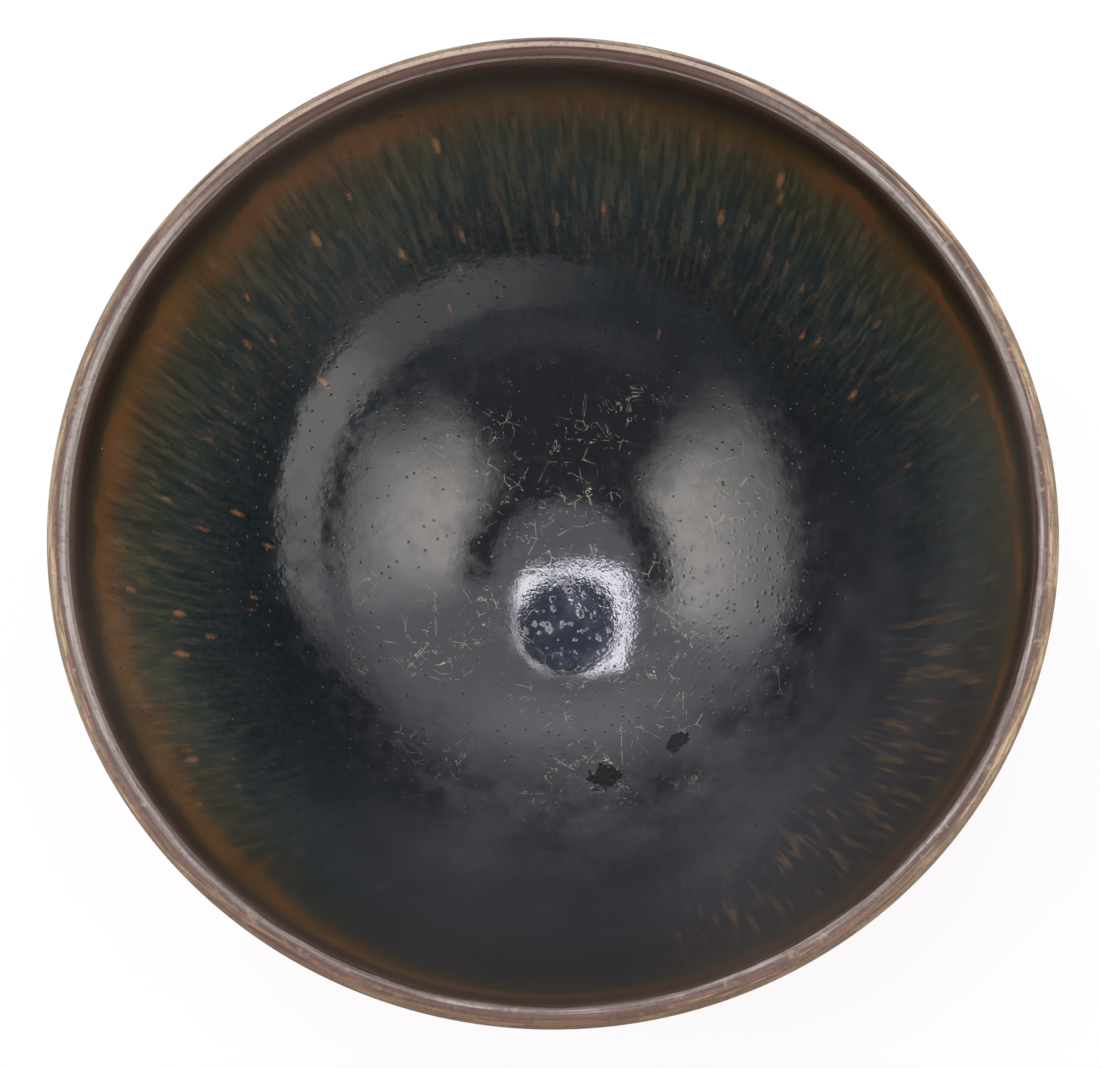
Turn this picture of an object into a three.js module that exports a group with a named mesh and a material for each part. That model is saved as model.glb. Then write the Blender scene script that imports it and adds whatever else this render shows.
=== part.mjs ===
// A tea bowl with a hare's fur iron glaze, built up as a potter makes it: one thrown and turned body of
// stoneware, glaze poured over the inside, a thin rubbed coat on the lip, and a coat on the outside that
// runs down and stops above the foot in a thick rolled edge with hanging drops.
// Millimetres, +Z up. The origin is the centre of the foot ring's underside.
import * as THREE from 'three';

// The finished bowl, measured over its glaze
const rimDiameter = 125;
const bowlHeight = 62;
const lipThickness = 3;

// The turned foot, the solid base over its recess, and the bare clay that the knife left above it
const footDiameter = 42;
const footHeight = 7;
const footRingWidth = 4.6;
const footFlare = 0.5;
const footEdgeBevel = 0.7;
const footFillet = 1.1;
const recessDepth = 4.2;
const recessDome = 0.8;
const recessTaper = 0.6;
const baseThickness = 9.1;
const shelfWidth = 5;
const shelfRise = 1.6;
const kneeRun = 2.2;
const kneeRise = 3.6;

// The glaze coats, and the gap that parts them from the clay and from each other
const seatGap = 0.3;
const lipCoat = 0.35;
const innerCoatAtLip = 0.4;
const innerCoatOnWall = 0.85;
const innerCoatThickensOver = 30;
const poolThickness = 1.9;
const poolRadius = 15;
const outerCoatAtLip = 0.4;
const outerCoatOnWall = 0.95;

// The outer coat's lower edge: how far up the wall from the knee it stops, its roll and its drops
const bareWallLength = 8.5;
const edgeWave = 0.9;
const rollThickness = 1.9;
const rollNose = 1.7;
const rollTaper = 9;
const dropThickness = 2.7;
const dropWidth = 9.5;
const longestDrop = 5.6;

// Each drop's place as a share of a full turn, and its length as a share of the longest drop
const dropPlaceShares = [0.06, 0.235, 0.31, 0.52, 0.66, 0.87];
const dropLengthShares = [0.55, 1, 0.42, 0.7, 0.5, 0.85];
const waveCounts = [2, 5, 9];
const waveHeightShares = [0.5, 0.32, 0.18];

// The walls, as shares of the way from their lower end to the lip: first outwards, then upwards.
// The outer wall is pinched under the lip, and the inner wall curls over into the round floor.
const outerWallShares = [
  [0, 0], [0.215, 0.17], [0.43, 0.345], [0.62, 0.53], [0.775, 0.7], [0.888, 0.83],
  [0.932, 0.885], [0.951, 0.926], [0.969, 0.964], [1, 1],
];
const innerWallShares = [
  [0, 0], [0.04, 0.0012], [0.085, 0.0081], [0.135, 0.021], [0.2, 0.045], [0.28, 0.0795],
  [0.37, 0.1286], [0.47, 0.198], [0.57, 0.2847], [0.66, 0.3791], [0.74, 0.4832], [0.81, 0.5943],
  [0.87, 0.7088], [0.925, 0.8274], [0.965, 0.918], [1, 1],
];
const grooveStartShare = 0.86;

// How finely the round forms are divided
const latheSteps = 60;
const outerCoatColumns = 120;
const lipArcSteps = 6;
const innerWallSteps = 12;
const outerWallSteps = 8;
const grooveSteps = 4;
const noseSteps = 3;
const rollSteps = 6;
const undersideSteps = 4;
const closerAtRoll = 1.7;
const filletSteps = 2;

// The lip is half a round: it leans in line with the walls, so its ends meet them without a corner
const lipLeanAngle = THREE.MathUtils.degToRad(30);
const lipRadius = lipThickness / 2;
const clayLipRadius = lipRadius - lipCoat - seatGap;
const lipCentre = new THREE.Vector2(rimDiameter / 2 - lipRadius, bowlHeight - lipRadius);
const footRadius = footDiameter / 2;
const clayFloorHeight = recessDepth + recessDome + baseThickness;
const kneePoint = new THREE.Vector2(
  footRadius + footFlare + shelfWidth + kneeRun,
  footHeight + shelfRise + kneeRise,
);

// A point on the clay's lip at an angle round its half circle
function clayLipPoint(angle) {
  const reach = new THREE.Vector2(Math.cos(angle), Math.sin(angle));
  return lipCentre.clone().addScaledVector(reach, clayLipRadius);
}

// A smooth wall between its lower end and the lip, through points given as shares of the way
function wallCurve(lowerEnd, upperEnd, shares) {
  const points = shares.map(([outShare, upShare]) => new THREE.Vector2(
    THREE.MathUtils.lerp(lowerEnd.x, upperEnd.x, outShare),
    THREE.MathUtils.lerp(lowerEnd.y, upperEnd.y, upShare),
  ));
  return new THREE.SplineCurve(points);
}

const outerWall = wallCurve(kneePoint, clayLipPoint(-lipLeanAngle), outerWallShares);
const innerWall = wallCurve(
  new THREE.Vector2(0, clayFloorHeight),
  clayLipPoint(Math.PI - lipLeanAngle),
  innerWallShares,
);
const outerWallLength = outerWall.getLength();
const innerSeamShare = 1 - seatGap / innerWall.getLength();
const outerSeamShare = 1 - seatGap / outerWallLength;

// A place on a wall: its point, and the direction that leads out of the clay there.
// The outer wall is walked upwards and the inner one downwards, so the clay is always on the left.
function wallPlace(curve, share, walksUp) {
  const tangent = curve.getTangentAt(share);
  if (!walksUp) tangent.negate();
  const point = curve.getPointAt(share);
  const onAxis = !walksUp && share === 0;
  const away = onAxis ? new THREE.Vector2(0, 1) : new THREE.Vector2(tangent.y, -tangent.x);
  return { point, away };
}

function lipPlace(angle) {
  const away = new THREE.Vector2(Math.cos(angle), Math.sin(angle));
  return { point: clayLipPoint(angle), away };
}

function offset(place, distance) {
  return place.point.clone().addScaledVector(place.away, distance);
}

// Steps from one value to another, both ends included: even ones, or closer together at the start
function stepsBetween(from, to, steps, closerAtStart = 1) {
  const share = (i) => (i / steps) ** closerAtStart;
  return Array.from({ length: steps + 1 }, (_, i) => THREE.MathUtils.lerp(from, to, share(i)));
}

function outerWallPlaces() {
  const shares = stepsBetween(0, grooveStartShare, outerWallSteps);
  shares.push(...stepsBetween(grooveStartShare, outerSeamShare, grooveSteps).slice(1));
  return shares.map((share) => wallPlace(outerWall, share, true));
}

function lipPlaces() {
  const angles = stepsBetween(-lipLeanAngle, Math.PI - lipLeanAngle, lipArcSteps);
  return angles.map(lipPlace);
}

function innerWallPlaces() {
  const shares = stepsBetween(innerSeamShare, 0, innerWallSteps);
  return shares.map((share) => wallPlace(innerWall, share, false));
}

// A solid of revolution about +Z, from a profile of radius and height that runs anticlockwise
function turned(profile) {
  return new THREE.LatheGeometry(profile, latheSteps).rotateX(Math.PI / 2);
}

// The recess and the foot ring, from the axis outwards to the knee
function footProfile() {
  const recessRadius = footRadius - footRingWidth;
  const filletCentre = new THREE.Vector2(footRadius + footFlare + footFillet, footHeight - footFillet);
  const fillet = stepsBetween(Math.PI, Math.PI / 2, filletSteps).map((angle) => new THREE.Vector2(
    filletCentre.x + footFillet * Math.cos(angle),
    filletCentre.y + footFillet * Math.sin(angle),
  ));
  return [
    new THREE.Vector2(0, recessDepth + recessDome),
    new THREE.Vector2((recessRadius - recessTaper) / 2, recessDepth + recessDome / 2),
    new THREE.Vector2(recessRadius - recessTaper, recessDepth),
    new THREE.Vector2(recessRadius, footEdgeBevel),
    new THREE.Vector2(recessRadius + footEdgeBevel, 0),
    new THREE.Vector2(footRadius - footEdgeBevel, 0),
    new THREE.Vector2(footRadius, footEdgeBevel),
    ...fillet,
    new THREE.Vector2(footRadius + footFlare + shelfWidth, footHeight + shelfRise),
  ];
}

function stonewareBody() {
  const faces = [...outerWallPlaces(), ...lipPlaces(), ...innerWallPlaces()];
  return turned([...footProfile(), ...faces.map((place) => place.point)]);
}

// The poured coat is starved under the lip, thickens down the wall and pools in the well
function innerCoatThickness(place) {
  const drop = lipCentre.y - place.point.y;
  const thickened = THREE.MathUtils.smoothstep(drop, 0, innerCoatThickensOver);
  const pooled = 1 - THREE.MathUtils.smoothstep(place.point.x, 0, poolRadius);
  const onWall = THREE.MathUtils.lerp(innerCoatAtLip, innerCoatOnWall, thickened);
  return THREE.MathUtils.lerp(onWall, poolThickness, pooled);
}

function innerGlaze() {
  const places = innerWallPlaces();
  const surface = places.map((place) => offset(place, seatGap + innerCoatThickness(place)));
  const underside = places.map((place) => offset(place, seatGap)).reverse();
  return turned([...underside, ...surface]);
}

// The lip's coat is a thin band over the half round, closed on itself
function lipGlaze() {
  const places = lipPlaces();
  const surface = places.map((place) => offset(place, seatGap + lipCoat));
  const underside = places.map((place) => offset(place, seatGap)).reverse();
  return turned([...surface, ...underside, surface[0].clone()]);
}

// How much of a drop hangs at an angle round the bowl, from 0 beside it to its length share in its middle
function dropShareAt(angle, edgeRadius) {
  const halfAngle = dropWidth / edgeRadius / 2;
  return dropPlaceShares.reduce((most, placeShare, i) => {
    const apart = Math.abs(THREE.MathUtils.euclideanModulo(
      angle - placeShare * 2 * Math.PI + Math.PI,
      2 * Math.PI,
    ) - Math.PI);
    if (apart >= halfAngle) return most;
    const bell = (1 + Math.cos(Math.PI * apart / halfAngle)) / 2;
    return Math.max(most, bell * dropLengthShares[i]);
  }, 0);
}

function waveShareAt(angle) {
  return waveCounts.reduce((sum, count, i) => sum + waveHeightShares[i] * Math.sin(count * angle + i), 0);
}

// The outer coat's thickness at a height above its lower edge: a round nose, a full roll, then a taper
function outerCoatThickness(aboveEdge, fullThickness, wallThickness) {
  if (aboveEdge < rollNose) {
    const back = 1 - aboveEdge / rollNose;
    return fullThickness * Math.sqrt(1 - back * back);
  }
  const thinned = THREE.MathUtils.smoothstep(aboveEdge - rollNose, 0, rollTaper);
  return THREE.MathUtils.lerp(fullThickness, wallThickness, thinned);
}

// One cross-section of the outer coat: up its surface from the lower edge, and back down its underside
function outerCoatSection(angle) {
  const dropShare = dropShareAt(angle, kneePoint.x);
  const edgeLength = bareWallLength + edgeWave * waveShareAt(angle) - longestDrop * dropShare;
  const fullThickness = THREE.MathUtils.lerp(rollThickness, dropThickness, dropShare);
  const edgeShare = edgeLength / outerWallLength;
  const noseEndShare = edgeShare + rollNose / outerWallLength;
  const nose = stepsBetween(0, Math.PI / 2, noseSteps).slice(1, -1)
    .map((turn) => edgeShare + (noseEndShare - edgeShare) * (1 - Math.cos(turn)));
  const wall = stepsBetween(noseEndShare, grooveStartShare, rollSteps, closerAtRoll);
  const groove = stepsBetween(grooveStartShare, outerSeamShare, grooveSteps).slice(1);
  const surface = [...nose, ...wall, ...groove].map((share) => {
    const place = wallPlace(outerWall, share, true);
    const thinning = THREE.MathUtils.smoothstep(share, grooveStartShare / 2, 1);
    const wallThickness = THREE.MathUtils.lerp(outerCoatOnWall, outerCoatAtLip, thinning);
    const aboveEdge = (share - edgeShare) * outerWallLength;
    return offset(place, seatGap + outerCoatThickness(aboveEdge, fullThickness, wallThickness));
  });
  const underside = [...stepsBetween(edgeShare, grooveStartShare, undersideSteps), ...groove]
    .map((share) => offset(wallPlace(outerWall, share, true), seatGap));
  return [...surface, ...underside.reverse()];
}

// A closed ring about +Z whose cross-section changes with the angle
function ringOfSections(sectionAt, columns) {
  const positions = [];
  const indices = [];
  for (let column = 0; column < columns; column += 1) {
    const angle = (column / columns) * 2 * Math.PI;
    const section = sectionAt(angle);
    const thisColumn = column * section.length;
    const nextColumn = ((column + 1) % columns) * section.length;
    section.forEach((corner, i) => {
      const above = (i + 1) % section.length;
      positions.push(corner.x * Math.cos(angle), corner.x * Math.sin(angle), corner.y);
      indices.push(thisColumn + i, nextColumn + i, nextColumn + above);
      indices.push(thisColumn + i, nextColumn + above, thisColumn + above);
    });
  }
  const geometry = new THREE.BufferGeometry();
  geometry.setAttribute('position', new THREE.Float32BufferAttribute(positions, 3));
  geometry.setIndex(indices);
  geometry.computeVertexNormals();
  return geometry;
}

function outerGlaze() {
  return ringOfSections(outerCoatSection, outerCoatColumns);
}

function bareStoneware() {
  return new THREE.MeshStandardMaterial({ color: 0xa88c72, roughness: 0.9, metalness: 0 });
}

function hareFurGlaze() {
  return new THREE.MeshStandardMaterial({ color: 0x23272a, roughness: 0.16, metalness: 0 });
}

function rubbedLipGlaze() {
  return new THREE.MeshStandardMaterial({ color: 0x8f7665, roughness: 0.42, metalness: 0 });
}

function ironBlackGlaze() {
  return new THREE.MeshStandardMaterial({ color: 0x1f1a17, roughness: 0.2, metalness: 0 });
}

function piece(name, geometry, material) {
  const mesh = new THREE.Mesh(geometry, material);
  mesh.name = name;
  return mesh;
}

const group = new THREE.Group();
group.add(piece('stoneware_body', stonewareBody(), bareStoneware()));
group.add(piece('inner_glaze', innerGlaze(), hareFurGlaze()));
group.add(piece('lip_glaze', lipGlaze(), rubbedLipGlaze()));
group.add(piece('outer_glaze', outerGlaze(), ironBlackGlaze()));

export default group;
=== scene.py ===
# %% [markdown]
# # A tenmoku tea bowl, piece by piece
# A conical stoneware bowl for whisked tea, thrown on a wheel, turned at the foot and dipped in an iron
# glaze. The solids from the CAD model hold its size and its place. Here each one gets a finer piece of the
# same shape, a little out of true as a hand leaves it, and the finish that the fire gave it.

# %% Load the solids and measure them
import math
import bpy
import numpy as np
from mathutils import Matrix, Vector
from mathutils.kdtree import KDTree


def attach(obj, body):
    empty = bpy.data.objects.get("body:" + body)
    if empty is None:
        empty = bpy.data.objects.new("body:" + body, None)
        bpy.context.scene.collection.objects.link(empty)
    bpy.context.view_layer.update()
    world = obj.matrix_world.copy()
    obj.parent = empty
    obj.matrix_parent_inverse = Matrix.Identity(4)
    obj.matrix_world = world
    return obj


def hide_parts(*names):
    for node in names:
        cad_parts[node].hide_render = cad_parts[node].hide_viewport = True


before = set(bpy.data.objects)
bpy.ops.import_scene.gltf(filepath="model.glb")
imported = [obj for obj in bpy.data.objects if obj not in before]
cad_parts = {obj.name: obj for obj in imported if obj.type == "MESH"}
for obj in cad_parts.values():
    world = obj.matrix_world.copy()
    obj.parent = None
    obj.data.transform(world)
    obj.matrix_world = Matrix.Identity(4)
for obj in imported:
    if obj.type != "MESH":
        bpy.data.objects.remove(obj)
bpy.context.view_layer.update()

print("solids:", sorted(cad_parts))

# %% [markdown]
# ## The drawing
# A pot is one outline turned round an axis, so the drawing is a half section in millimetres: radius,
# height. Its numbers are those of the CAD model. The two walls run through points given as shares of the
# way from their lower end to the lip, and a smooth line joins them.

# %% The sizes of the bowl
MM = 0.001

RIM_RADIUS = 62.5
BOWL_HEIGHT = 62.0
LIP_RADIUS = 1.5
CLAY_LIP_RADIUS = 0.85
LIP_LEAN = math.radians(30)
FLOOR_HEIGHT = 14.1
KNEE = (28.7, 12.2)

LIP_CENTRE = np.array([RIM_RADIUS - LIP_RADIUS, BOWL_HEIGHT - LIP_RADIUS])
OUTER_SHARES = [(0, 0), (0.215, 0.17), (0.43, 0.345), (0.62, 0.53), (0.775, 0.7), (0.888, 0.83),
                (0.932, 0.885), (0.951, 0.926), (0.969, 0.964), (1, 1)]
INNER_SHARES = [(0, 0), (0.04, 0.0012), (0.085, 0.0081), (0.135, 0.021), (0.2, 0.045), (0.28, 0.0795),
                (0.37, 0.1286), (0.47, 0.198), (0.57, 0.2847), (0.66, 0.3791), (0.74, 0.4832), (0.81, 0.5943),
                (0.87, 0.7088), (0.925, 0.8274), (0.965, 0.918), (1, 1)]
print(f"rim {2 * RIM_RADIUS:.0f} mm wide, bowl {BOWL_HEIGHT:.0f} mm high, lip {2 * LIP_RADIUS:.0f} mm thick")

# %% Lines: a smooth one through points, and a walk along it
STEPS_BETWEEN_POINTS = 80
HALF_A_STEP = 0.15


def smooth_line(start, end, shares):
    """A smooth line from start to end, through points given as shares of the way."""
    start, end = np.array(start, float), np.array(end, float)
    corners = start + np.array(shares) * (end - start)
    corners = np.vstack([corners[:1], corners, corners[-1:]])
    line = []
    for before, here, there, after in zip(corners, corners[1:], corners[2:], corners[3:]):
        t = np.linspace(0, 1, STEPS_BETWEEN_POINTS, endpoint=False)[:, None]
        leave, arrive = (there - before) / 2, (after - here) / 2
        line.append((2 * here - 2 * there + leave + arrive) * t**3
                    + (3 * there - 3 * here - 2 * leave - arrive) * t**2 + leave * t + here)
    return np.vstack([*line, corners[-1:]])


def lengths_along(line):
    """How far each point of a line is from its start."""
    return np.concatenate([[0], np.cumsum(np.hypot(*np.diff(line, axis=0).T))])


def walk(line, distances):
    """The points at these distances along a line."""
    lengths = lengths_along(line)
    return np.stack([np.interp(distances, lengths, line[:, axis]) for axis in (0, 1)], axis=1)


def square_to(line, distances):
    """The direction to the right at these distances along a line, for one who walks along it."""
    along = walk(line, distances + HALF_A_STEP) - walk(line, distances - HALF_A_STEP)
    along /= np.linalg.norm(along, axis=1, keepdims=True)
    return np.stack([along[:, 1], -along[:, 0]], axis=1)


def ease(value, low, high):
    """0 below low, 1 above high, and a smooth way between."""
    t = np.clip((np.asarray(value, float) - low) / (high - low), 0, 1)
    return t * t * (3 - 2 * t)


def on_lip(radius, angle):
    """A point of the lip's round, or several, at an angle counted up from its outermost point."""
    return LIP_CENTRE + np.expand_dims(radius, -1) * np.stack([np.cos(angle), np.sin(angle)], axis=-1)


clay_outside = smooth_line(KNEE, on_lip(CLAY_LIP_RADIUS, -LIP_LEAN), OUTER_SHARES)
clay_inside = smooth_line((0, FLOOR_HEIGHT), on_lip(CLAY_LIP_RADIUS, math.pi - LIP_LEAN), INNER_SHARES)[::-1]
OUTSIDE_LENGTH = lengths_along(clay_outside)[-1]
INSIDE_LENGTH = lengths_along(clay_inside)[-1]
print(f"clay wall outside {OUTSIDE_LENGTH:.1f} mm, inside {INSIDE_LENGTH:.1f} mm, measured along the section")

# %% [markdown]
# ## Turning an outline
# The potter's wheel is Blender's spin tool. A flat circle of as many points as the outline has is added,
# each point is moved to its place in the half section, and the loop is spun once round the upright axis.
# Spin leaves the first and last copies on top of each other, so doubles are merged and the faces are turned
# outwards.

# %% The wheel: spin one closed outline
AROUND = 256
ON_THE_AXIS = 1e-7
ONE_PLACE = 2e-6


def select_edges(piece, wanted):
    """In edit mode, selects the edges whose two ends both pass a test of their place."""
    bpy.ops.mesh.select_mode(type="EDGE")
    bpy.ops.mesh.select_all(action="DESELECT")
    bpy.ops.object.mode_set(mode="OBJECT")
    for edge in piece.data.edges:
        edge.select = all(wanted(piece.data.vertices[i].co) for i in edge.vertices)
    bpy.ops.object.mode_set(mode="EDIT")


def turned(name, outline):
    """A closed solid of revolution from a closed outline of radius and height, in millimetres."""
    bpy.ops.object.select_all(action="DESELECT")
    bpy.ops.mesh.primitive_circle_add(vertices=len(outline), radius=0.01, location=(0, 0, 0))
    piece = bpy.context.object
    piece.name = piece.data.name = name
    put_places(piece, np.stack([outline[:, 0], 0 * outline[:, 0], outline[:, 1]], axis=1))
    bpy.ops.object.mode_set(mode="EDIT")
    select_edges(piece, lambda place: place.x < ON_THE_AXIS)
    bpy.ops.mesh.delete(type="EDGE")
    bpy.ops.mesh.select_mode(type="VERT")
    bpy.ops.mesh.select_all(action="SELECT")
    bpy.ops.mesh.spin(steps=AROUND, angle=2 * math.pi, center=(0, 0, 0), axis=(0, 0, 1))
    bpy.ops.mesh.select_all(action="SELECT")
    bpy.ops.mesh.remove_doubles(threshold=ONE_PLACE)
    bpy.ops.mesh.normals_make_consistent(inside=False)
    bpy.ops.object.mode_set(mode="OBJECT")
    return piece


def places_of(piece):
    """The places of a piece's points, in millimetres."""
    places = np.empty(len(piece.data.vertices) * 3)
    piece.data.vertices.foreach_get("co", places)
    return places.reshape(-1, 3) / MM


def put_places(piece, places):
    """Moves a piece's points to these places, in millimetres."""
    piece.data.vertices.foreach_set("co", (places * MM).ravel())
    piece.data.update()


def outline_numbers(piece, outline):
    """Which point of its outline each point of a turned piece came from."""
    tree = KDTree(len(outline))
    for number, (radius, height) in enumerate(outline):
        tree.insert((radius, height, 0), number)
    tree.balance()
    return np.array([tree.find((math.hypot(x, y), z, 0))[1] for x, y, z in places_of(piece)])


print(AROUND, "steps round, which lie", round(2 * math.pi * RIM_RADIUS / AROUND, 2), "mm apart at the rim")

# %% [markdown]
# ## Out of true
# A bowl lifted off the wheel with two hands, then dried and fired at 1300 degrees, is never quite round.
# Seen from above this one is a slight oval, 0.6 mm either way, with a weaker three-sided wave. Each point is
# moved by how high it stands, so the walls keep their thickness and the foot stays flat and round.

# %% The hand's and the fire's share
OVAL = 0.0096
OVAL_TURN = math.radians(49.2)
THREE_SIDED = 0.0029
THREE_SIDED_TURN = math.radians(90)
DRAWN_IN = 0.0127
RIM_DIP = 0.25
RIM_DIP_TURN = 0.8
BENDS_BETWEEN = (4, 58)
BENDS_LATE = 1.2


def out_of_true(piece):
    """Draws a round piece into the bowl's own uneven round, inside the box of the solids."""
    x, y, z = places_of(piece).T
    angle = np.arctan2(y, x)
    share = ease(z, *BENDS_BETWEEN) ** BENDS_LATE
    wave = OVAL * np.cos(2 * (angle + OVAL_TURN)) + THREE_SIDED * np.cos(3 * (angle - THREE_SIDED_TURN))
    scale = 1 + share * (wave - DRAWN_IN)
    dip = RIM_DIP * share * (1 + np.cos(2 * angle + RIM_DIP_TURN)) / 2
    put_places(piece, np.stack([x * scale, y * scale, z - dip], axis=1))


def finished(piece, node, crease=40):
    """Smooths a piece's shading, seats it on the body, and lets it stand for a solid."""
    bpy.ops.object.select_all(action="DESELECT")
    piece.select_set(True)
    bpy.context.view_layer.objects.active = piece
    bpy.ops.object.shade_smooth_by_angle(angle=math.radians(crease))
    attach(piece, "root")
    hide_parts(node)
    triangles = sum(len(face.vertices) - 2 for face in piece.data.polygons)
    print(f"{piece.name}: {triangles} triangles, {[round(d / MM, 1) for d in piece.dimensions]} mm")


print("the oval draws the rim", round(OVAL * RIM_RADIUS, 2), "mm in and out")

# %% [markdown]
# ## The clay body
# The clay is one thrown piece. When it was leather hard, the potter turned it upside down and cut the foot
# ring, the shallow recess inside it, the flat shelf round it and the knee above with a hooked knife. It is
# bare from the foot to the glaze line, and bears the knife's edges, so its corners are kept crisp and only
# just broken.

# %% Cut the foot and turn the body
RECESS = [(0, 5.0), (5, 4.85), (10, 4.55), (15.3, 4.25), (15.75, 3.9), (16.35, 0.9), (16.6, 0.3), (17.1, 0)]
RING = [(18.7, 0), (20.3, 0), (20.8, 0.28), (21.02, 0.75), (21.2, 3.2), (21.45, 5.6), (21.85, 6.5), (22.6, 7)]
SHELF = [(24, 7.35), (25.6, 7.95), (26.3, 8.35), (26.75, 8.85)]
ROWS_OUTSIDE, ROWS_ON_LIP, ROWS_INSIDE = 150, 13, 60

foot_line = np.array(RECESS + RING + SHELF, float)
knee_to_lip = walk(clay_outside, np.linspace(0, OUTSIDE_LENGTH, ROWS_OUTSIDE))
lip_to_floor = walk(clay_inside, np.linspace(0, INSIDE_LENGTH, ROWS_INSIDE))
clay_lip = on_lip(CLAY_LIP_RADIUS, np.linspace(-LIP_LEAN, math.pi - LIP_LEAN, ROWS_ON_LIP)[1:-1])
clay_outline = np.vstack([foot_line, knee_to_lip, clay_lip, lip_to_floor])

clay_body = turned("clay_body", clay_outline)
print("turned the clay from an outline of", len(clay_outline), "points")

# %% [markdown]
# Close to the glaze line the turned clay shows the knife's spiral: shallow rings about a millimetre apart.
# They are cut into the mesh, because they catch the light from the side, and they fade out on the foot's
# edges.

# %% The knife's rings on the knee
RING_SPACING = 1.3
RING_DEPTH = 0.05
RINGS_BEGIN = (9, 12.5)
RINGS_END = (26, 30)
OFF_THE_FOOT = (26, 27)


def turning_rings(piece):
    """Cuts the knife's spiral into the bare clay between the shelf and the glaze."""
    x, y, z = places_of(piece).T
    radius = np.maximum(np.hypot(x, y), 1e-9)
    outside = ease(z, *RINGS_BEGIN) * (1 - ease(z, *RINGS_END)) * ease(radius, *OFF_THE_FOOT)
    spiral = np.sin(2 * math.pi * z / RING_SPACING + np.arctan2(y, x))
    scale = 1 - outside * RING_DEPTH * (1 + spiral) / 2 / radius
    put_places(piece, np.stack([x * scale, y * scale, z], axis=1))


turning_rings(clay_body)
out_of_true(clay_body)
finished(clay_body, "stoneware_body", crease=28)

# %% [markdown]
# ## The glaze's surface
# The glaze is one skin from the rolled edge outside, over the lip and down into the well. It is parted at
# the lip into the three coats of the CAD model. Where two coats meet, the lower one runs on for a little
# under the upper one, so that no gap shows. Each point also keeps how far in from the rim it lies as seen
# from above, and below zero how far down the outside: the fire coloured the glaze by that distance, so the
# finishes read it.

# %% Where a coat tucks under the lip's, and how far each point is from the rim
UNDER_CLAY = 0.05
UNDER_LIP_COAT = 0.004
LAP_DEPTH = 0.1
COAT_AT_LIP = 0.65
LAP_ANGLE = math.radians(24)


def tucked(seam_angle, towards, steps=6):
    """The end of a coat that runs on under the lip's coat, from the seam towards an angle."""
    share = np.linspace(0, 1, steps + 1)
    radius = LIP_RADIUS - UNDER_LIP_COAT - LAP_DEPTH * share**2
    return on_lip(radius, seam_angle + towards * LAP_ANGLE * share)


def keep_distance(piece, distances):
    """Stores each point's distance from the rim, in millimetres."""
    stored = piece.data.attributes.new("from_rim", "FLOAT", "POINT")
    stored.data.foreach_set("value", np.ascontiguousarray(distances, np.float32))


print("a coat runs on under the lip's for", round(LIP_RADIUS * LAP_ANGLE, 2), "mm")

# %% [markdown]
# ## The coat inside
# Glaze was poured in and swilled round. It is starved below the lip, thickens down the wall, and pools in
# the well. Spinning one section gives it, and the section is eased first, because a fired glaze has no
# small bends.

# %% Pour the inside
COAT_INSIDE = 1.15
POOL_DEPTH = 2.2
THICKENS_OVER = 30
POOL_RADIUS = 15
EASED_OVER = 9
LEFT_AS_IT_IS = (0.6, 4)
FINE_ROWS_DOWN_TO, FINE_ROW = 3, 0.2
ROWS_DOWN, ROWS_UNDER = 170, 40


def inside_thickness(points):
    """How thick the glaze lies over these points of the clay, counted from the clay itself."""
    down = ease(LIP_CENTRE[1] - points[:, 1], 0, THICKENS_OVER)
    pooled = 1 - ease(points[:, 0], 0, POOL_RADIUS)
    on_wall = COAT_AT_LIP + (COAT_INSIDE - COAT_AT_LIP) * down
    return on_wall + (POOL_DEPTH - on_wall) * pooled


def eased(line, reach, keep):
    """Takes the small bends out of a line that ends on the axis, and leaves its first stretch as it is."""
    steps = np.arange(-3 * reach, 3 * reach + 1)
    weights = np.exp(-0.5 * (steps / reach) ** 2)
    weights /= weights.sum()
    beyond_axis = line[-2:-3 * reach - 2:-1] * (-1, 1)
    padded = np.vstack([2 * line[0] - line[3 * reach:0:-1], line, beyond_axis])
    soft = np.stack([np.convolve(padded[:, axis], weights, "valid") for axis in (0, 1)], axis=1)
    share = ease(lengths_along(line), *keep)[:, None]
    return line * (1 - share) + soft * share


down_the_wall = np.linspace(0, INSIDE_LENGTH, 400)
clay_under = walk(clay_inside, down_the_wall)
inside_skin = clay_under + square_to(clay_inside, down_the_wall) * inside_thickness(clay_under)[:, None]
inside_skin[-1] = (0, inside_skin[-2, 1])
inside_skin = eased(inside_skin, EASED_OVER, LEFT_AS_IT_IS)
inside_skin[-1, 0] = 0

skin_length = lengths_along(inside_skin)[-1]
inside_rows = np.concatenate([np.arange(0, FINE_ROWS_DOWN_TO, FINE_ROW),
                              np.linspace(FINE_ROWS_DOWN_TO, skin_length, ROWS_DOWN)])
inside_surface = walk(inside_skin, inside_rows)
up_the_wall = np.linspace(INSIDE_LENGTH, 0, ROWS_UNDER)
inside_underside = walk(clay_inside, up_the_wall) - square_to(clay_inside, up_the_wall) * UNDER_CLAY
inside_underside[0, 0] = 0
inside_outline = np.vstack([tucked(math.pi - LIP_LEAN, -1)[:0:-1], inside_surface, inside_underside])

inside_coat = turned("inside_coat", inside_outline)
keep_distance(inside_coat, RIM_RADIUS - np.hypot(*places_of(inside_coat)[:, :2].T))
out_of_true(inside_coat)
finished(inside_coat, "inner_glaze")
print("well floor at", round(float(inside_surface[-1, 1]), 2), "mm")

# %% [markdown]
# ## The coat on the lip
# Glaze runs off a lip in the fire, and years of wiping wear what is left. The coat is a thin band over the
# half round, closed underneath, with fine steps because its curve is the tightest on the bowl.

# %% Coat the lip
LIP_STEPS = 41

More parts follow.
